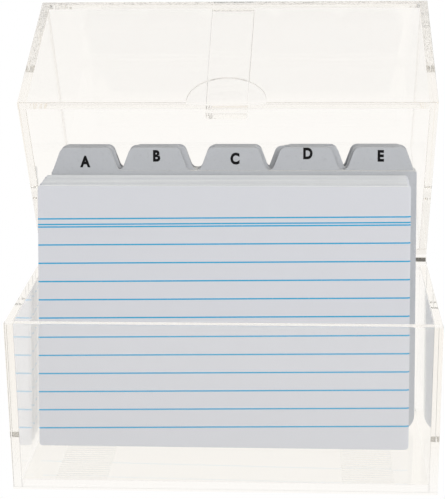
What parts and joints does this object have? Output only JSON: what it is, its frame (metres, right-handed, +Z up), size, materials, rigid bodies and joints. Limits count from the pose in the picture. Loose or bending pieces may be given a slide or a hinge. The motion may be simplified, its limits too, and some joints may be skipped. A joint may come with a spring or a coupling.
{
  "type": "hinged index card box",
  "caption": "Clear rectangular box with a rear-hinged lid, standing open over ruled index cards and tabbed dividers that lean on its rear wall.",
  "frame": {"origin": "middle of the box's underside", "axes": "+X to the right across the box's front, +Y from the front to the hinge at the rear, +Z up"},
  "size_m": [0.1624, 0.145, 0.1716],
  "materials": {
    "clear_acrylic": "polished",
    "pin_steel": "satin",
    "ruled_card": "matte",
    "divider_card": "matte"
  },
  "bodies": {
    "base": {"base_floor": "clear_acrylic", "base_front_wall": "clear_acrylic", "base_rear_wall": "clear_acrylic", "base_left_wall": "clear_acrylic", "base_right_wall": "clear_acrylic", "hinge_pin": "pin_steel", "base_knuckle_1": "clear_acrylic", "base_knuckle_2": "clear_acrylic", "base_knuckle_3": "clear_acrylic", "base_knuckle_4": "clear_acrylic"},
    "lid": {"lid_top_panel": "clear_acrylic", "lid_front_wall": "clear_acrylic", "lid_rear_wall": "clear_acrylic", "lid_left_wall": "clear_acrylic", "lid_right_wall": "clear_acrylic", "lid_tongue": "clear_acrylic", "lid_knuckle_1": "clear_acrylic", "lid_knuckle_2": "clear_acrylic", "lid_knuckle_3": "clear_acrylic"},
    "ruled_card_front": {"ruled_card_front": "ruled_card"},
    "card_pack_1": {"card_pack_1": "ruled_card"},
    "card_pack_2": {"card_pack_2": "ruled_card"},
    "card_pack_3": {"card_pack_3": "ruled_card"},
    "card_pack_4": {"card_pack_4": "ruled_card"},
    "card_pack_5": {"card_pack_5": "ruled_card"},
    "card_pack_6": {"card_pack_6": "ruled_card"},
    "card_pack_7": {"card_pack_7": "ruled_card"},
    "card_pack_8": {"card_pack_8": "ruled_card"},
    "card_pack_9": {"card_pack_9": "ruled_card"},
    "tab_divider_01": {"tab_divider_01": "divider_card"},
    "tab_divider_02": {"tab_divider_02": "divider_card"},
    "tab_divider_03": {"tab_divider_03": "divider_card"},
    "tab_divider_04": {"tab_divider_04": "divider_card"},
    "tab_divider_05": {"tab_divider_05": "divider_card"},
    "tab_divider_06": {"tab_divider_06": "divider_card"},
    "tab_divider_07": {"tab_divider_07": "divider_card"},
    "tab_divider_08": {"tab_divider_08": "divider_card"},
    "tab_divider_09": {"tab_divider_09": "divider_card"},
    "tab_divider_10": {"tab_divider_10": "divider_card"},
    "tab_divider_11": {"tab_divider_11": "divider_card"},
    "tab_divider_12": {"tab_divider_12": "divider_card"},
    "tab_divider_13": {"tab_divider_13": "divider_card"},
    "tab_divider_14": {"tab_divider_14": "divider_card"},
    "tab_divider_15": {"tab_divider_15": "divider_card"},
    "tab_divider_16": {"tab_divider_16": "divider_card"},
    "tab_divider_17": {"tab_divider_17": "divider_card"},
    "tab_divider_18": {"tab_divider_18": "divider_card"},
    "tab_divider_19": {"tab_divider_19": "divider_card"},
    "tab_divider_20": {"tab_divider_20": "divider_card"},
    "tab_divider_21": {"tab_divider_21": "divider_card"},
    "tab_divider_22": {"tab_divider_22": "divider_card"},
    "tab_divider_23": {"tab_divider_23": "divider_card"},
    "tab_divider_24": {"tab_divider_24": "divider_card"},
    "tab_divider_25": {"tab_divider_25": "divider_card"}
  },
  "joints": [
    {"name": "lid_hinge", "type": "hinge", "parent": "base", "child": "lid", "pos_m": [0, 0.042, 0.06775], "axis": [1, 0, 0], "range_deg": [0, 65]},
    {"name": "tilt_ruled_card_front", "type": "hinge", "parent": "base", "child": "ruled_card_front", "pos_m": [0, -0.00599, 0.00355], "axis": [1, 0, 0], "range_deg": [0, 5.8]},
    {"name": "tilt_card_pack_1", "type": "hinge", "parent": "base", "child": "card_pack_1", "pos_m": [0, -0.00578, 0.00355], "axis": [1, 0, 0], "range_deg": [0, 5.8]},
    {"name": "tilt_card_pack_2", "type": "hinge", "parent": "base", "child": "card_pack_2", "pos_m": [0, -0.00367, 0.00355], "axis": [1, 0, 0], "range_deg": [0, 5.8]},
    {"name": "tilt_card_pack_3", "type": "hinge", "parent": "base", "child": "card_pack_3", "pos_m": [0, -0.00157, 0.00355], "axis": [1, 0, 0], "range_deg": [0, 5.8]},
    {"name": "tilt_card_pack_4", "type": "hinge", "parent": "base", "child": "card_pack_4", "pos_m": [0, 0.00054, 0.00355], "axis": [1, 0, 0], "range_deg": [0, 5.8]},
    {"name": "tilt_card_pack_5", "type": "hinge", "parent": "base", "child": "card_pack_5", "pos_m": [0, 0.00265, 0.00355], "axis": [1, 0, 0], "range_deg": [0, 5.8]},
    {"name": "tilt_card_pack_6", "type": "hinge", "parent": "base", "child": "card_pack_6", "pos_m": [0, 0.00475, 0.00355], "axis": [1, 0, 0], "range_deg": [0, 5.8]},
    {"name": "tilt_card_pack_7", "type": "hinge", "parent": "base", "child": "card_pack_7", "pos_m": [0, 0.00686, 0.00355], "axis": [1, 0, 0], "range_deg": [0, 5.8]},
    {"name": "tilt_card_pack_8", "type": "hinge", "parent": "base", "child": "card_pack_8", "pos_m": [0, 0.00897, 0.00355], "axis": [1, 0, 0], "range_deg": [0, 5.8]},
    {"name": "tilt_card_pack_9", "type": "hinge", "parent": "base", "child": "card_pack_9", "pos_m": [0, 0.01107, 0.00355], "axis": [1, 0, 0], "range_deg": [0, 5.8]},
    {"name": "tilt_tab_divider_01", "type": "hinge", "parent": "base", "child": "tab_divider_01", "pos_m": [0, 0.01318, 0.00355], "axis": [1, 0, 0], "range_deg": [0, 5.8]},
    {"name": "tilt_tab_divider_02", "type": "hinge", "parent": "base", "child": "tab_divider_02", "pos_m": [0, 0.01351, 0.00355], "axis": [1, 0, 0], "range_deg": [0, 5.8]},
    {"name": "tilt_tab_divider_03", "type": "hinge", "parent": "base", "child": "tab_divider_03", "pos_m": [0, 0.01384, 0.00355], "axis": [1, 0, 0], "range_deg": [0, 5.8]},
    {"name": "tilt_tab_divider_04", "type": "hinge", "parent": "base", "child": "tab_divider_04", "pos_m": [0, 0.01417, 0.00355], "axis": [1, 0, 0], "range_deg": [0, 5.8]},
    {"name": "tilt_tab_divider_05", "type": "hinge", "parent": "base", "child": "tab_divider_05", "pos_m": [0, 0.01449, 0.00355], "axis": [1, 0, 0], "range_deg": [0, 5.8]},
    {"name": "tilt_tab_divider_06", "type": "hinge", "parent": "base", "child": "tab_divider_06", "pos_m": [0, 0.01482, 0.00355], "axis": [1, 0, 0], "range_deg": [0, 5.8]},
    {"name": "tilt_tab_divider_07", "type": "hinge", "parent": "base", "child": "tab_divider_07", "pos_m": [0, 0.01515, 0.00355], "axis": [1, 0, 0], "range_deg": [0, 5.8]},
    {"name": "tilt_tab_divider_08", "type": "hinge", "parent": "base", "child": "tab_divider_08", "pos_m": [0, 0.01548, 0.00355], "axis": [1, 0, 0], "range_deg": [0, 5.8]},
    {"name": "tilt_tab_divider_09", "type": "hinge", "parent": "base", "child": "tab_divider_09", "pos_m": [0, 0.01581, 0.00355], "axis": [1, 0, 0], "range_deg": [0, 5.8]},
    {"name": "tilt_tab_divider_10", "type": "hinge", "parent": "base", "child": "tab_divider_10", "pos_m": [0, 0.01614, 0.00355], "axis": [1, 0, 0], "range_deg": [0, 5.8]},
    {"name": "tilt_tab_divider_11", "type": "hinge", "parent": "base", "child": "tab_divider_11", "pos_m": [0, 0.01646, 0.00355], "axis": [1, 0, 0], "range_deg": [0, 5.8]},
    {"name": "tilt_tab_divider_12", "type": "hinge", "parent": "base", "child": "tab_divider_12", "pos_m": [0, 0.01679, 0.00355], "axis": [1, 0, 0], "range_deg": [0, 5.8]},
    {"name": "tilt_tab_divider_13", "type": "hinge", "parent": "base", "child": "tab_divider_13", "pos_m": [0, 0.01712, 0.00355], "axis": [1, 0, 0], "range_deg": [0, 5.8]},
    {"name": "tilt_tab_divider_14", "type": "hinge", "parent": "base", "child": "tab_divider_14", "pos_m": [0, 0.01745, 0.00355], "axis": [1, 0, 0], "range_deg": [0, 5.8]},
    {"name": "tilt_tab_divider_15", "type": "hinge", "parent": "base", "child": "tab_divider_15", "pos_m": [0, 0.01777, 0.00355], "axis": [1, 0, 0], "range_deg": [0, 5.8]},
    {"name": "tilt_tab_divider_16", "type": "hinge", "parent": "base", "child": "tab_divider_16", "pos_m": [0, 0.0181, 0.00355], "axis": [1, 0, 0], "range_deg": [0, 5.8]},
    {"name": "tilt_tab_divider_17", "type": "hinge", "parent": "base", "child": "tab_divider_17", "pos_m": [0, 0.01843, 0.00355], "axis": [1, 0, 0], "range_deg": [0, 5.8]},
    {"name": "tilt_tab_divider_18", "type": "hinge", "parent": "base", "child": "tab_divider_18", "pos_m": [0, 0.01876, 0.00355], "axis": [1, 0, 0], "range_deg": [0, 5.8]},
    {"name": "tilt_tab_divider_19", "type": "hinge", "parent": "base", "child": "tab_divider_19", "pos_m": [0, 0.01909, 0.00355], "axis": [1, 0, 0], "range_deg": [0, 5.8]},
    {"name": "tilt_tab_divider_20", "type": "hinge", "parent": "base", "child": "tab_divider_20", "pos_m": [0, 0.01942, 0.00355], "axis": [1, 0, 0], "range_deg": [0, 5.8]},
    {"name": "tilt_tab_divider_21", "type": "hinge", "parent": "base", "child": "tab_divider_21", "pos_m": [0, 0.01974, 0.00355], "axis": [1, 0, 0], "range_deg": [0, 5.8]},
    {"name": "tilt_tab_divider_22", "type": "hinge", "parent": "base", "child": "tab_divider_22", "pos_m": [0, 0.02007, 0.00355], "axis": [1, 0, 0], "range_deg": [0, 5.8]},
    {"name": "tilt_tab_divider_23", "type": "hinge", "parent": "base", "child": "tab_divider_23", "pos_m": [0, 0.0204, 0.00355], "axis": [1, 0, 0], "range_deg": [0, 5.8]},
    {"name": "tilt_tab_divider_24", "type": "hinge", "parent": "base", "child": "tab_divider_24", "pos_m": [0, 0.02073, 0.00355], "axis": [1, 0, 0], "range_deg": [0, 5.8]},
    {"name": "tilt_tab_divider_25", "type": "hinge", "parent": "base", "child": "tab_divider_25", "pos_m": [0, 0.02106, 0.00355], "axis": [1, 0, 0], "range_deg": [0, 5.8]}
  ],
  "couplings": [
    {"joint": "tilt_ruled_card_front", "follows": "lid_hinge", "ratio": 0.088462},
    {"joint": "tilt_card_pack_1", "follows": "lid_hinge", "ratio": 0.088462},
    {"joint": "tilt_card_pack_2", "follows": "lid_hinge", "ratio": 0.088462},
    {"joint": "tilt_card_pack_3", "follows": "lid_hinge", "ratio": 0.088462},
    {"joint": "tilt_card_pack_4", "follows": "lid_hinge", "ratio": 0.088462},
    {"joint": "tilt_card_pack_5", "follows": "lid_hinge", "ratio": 0.088462},
    {"joint": "tilt_card_pack_6", "follows": "lid_hinge", "ratio": 0.088462},
    {"joint": "tilt_card_pack_7", "follows": "lid_hinge", "ratio": 0.088462},
    {"joint": "tilt_card_pack_8", "follows": "lid_hinge", "ratio": 0.088462},
    {"joint": "tilt_card_pack_9", "follows": "lid_hinge", "ratio": 0.088462},
    {"joint": "tilt_tab_divider_01", "follows": "lid_hinge", "ratio": 0.088462},
    {"joint": "tilt_tab_divider_02", "follows": "lid_hinge", "ratio": 0.088462},
    {"joint": "tilt_tab_divider_03", "follows": "lid_hinge", "ratio": 0.088462},
    {"joint": "tilt_tab_divider_04", "follows": "lid_hinge", "ratio": 0.088462},
    {"joint": "tilt_tab_divider_05", "follows": "lid_hinge", "ratio": 0.088462},
    {"joint": "tilt_tab_divider_06", "follows": "lid_hinge", "ratio": 0.088462},
    {"joint": "tilt_tab_divider_07", "follows": "lid_hinge", "ratio": 0.088462},
    {"joint": "tilt_tab_divider_08", "follows": "lid_hinge", "ratio": 0.088462},
    {"joint": "tilt_tab_divider_09", "follows": "lid_hinge", "ratio": 0.088462},
    {"joint": "tilt_tab_divider_10", "follows": "lid_hinge", "ratio": 0.088462},
    {"joint": "tilt_tab_divider_11", "follows": "lid_hinge", "ratio": 0.088462},
    {"joint": "tilt_tab_divider_12", "follows": "lid_hinge", "ratio": 0.088462},
    {"joint": "tilt_tab_divider_13", "follows": "lid_hinge", "ratio": 0.088462},
    {"joint": "tilt_tab_divider_14", "follows": "lid_hinge", "ratio": 0.088462},
    {"joint": "tilt_tab_divider_15", "follows": "lid_hinge", "ratio": 0.088462},
    {"joint": "tilt_tab_divider_16", "follows": "lid_hinge", "ratio": 0.088462},
    {"joint": "tilt_tab_divider_17", "follows": "lid_hinge", "ratio": 0.088462},
    {"joint": "tilt_tab_divider_18", "follows": "lid_hinge", "ratio": 0.088462},
    {"joint": "tilt_tab_divider_19", "follows": "lid_hinge", "ratio": 0.088462},
    {"joint": "tilt_tab_divider_20", "follows": "lid_hinge", "ratio": 0.088462},
    {"joint": "tilt_tab_divider_21", "follows": "lid_hinge", "ratio": 0.088462},
    {"joint": "tilt_tab_divider_22", "follows": "lid_hinge", "ratio": 0.088462},
    {"joint": "tilt_tab_divider_23", "follows": "lid_hinge", "ratio": 0.088462},
    {"joint": "tilt_tab_divider_24", "follows": "lid_hinge", "ratio": 0.088462},
    {"joint": "tilt_tab_divider_25", "follows": "lid_hinge", "ratio": 0.088462}
  ]
}
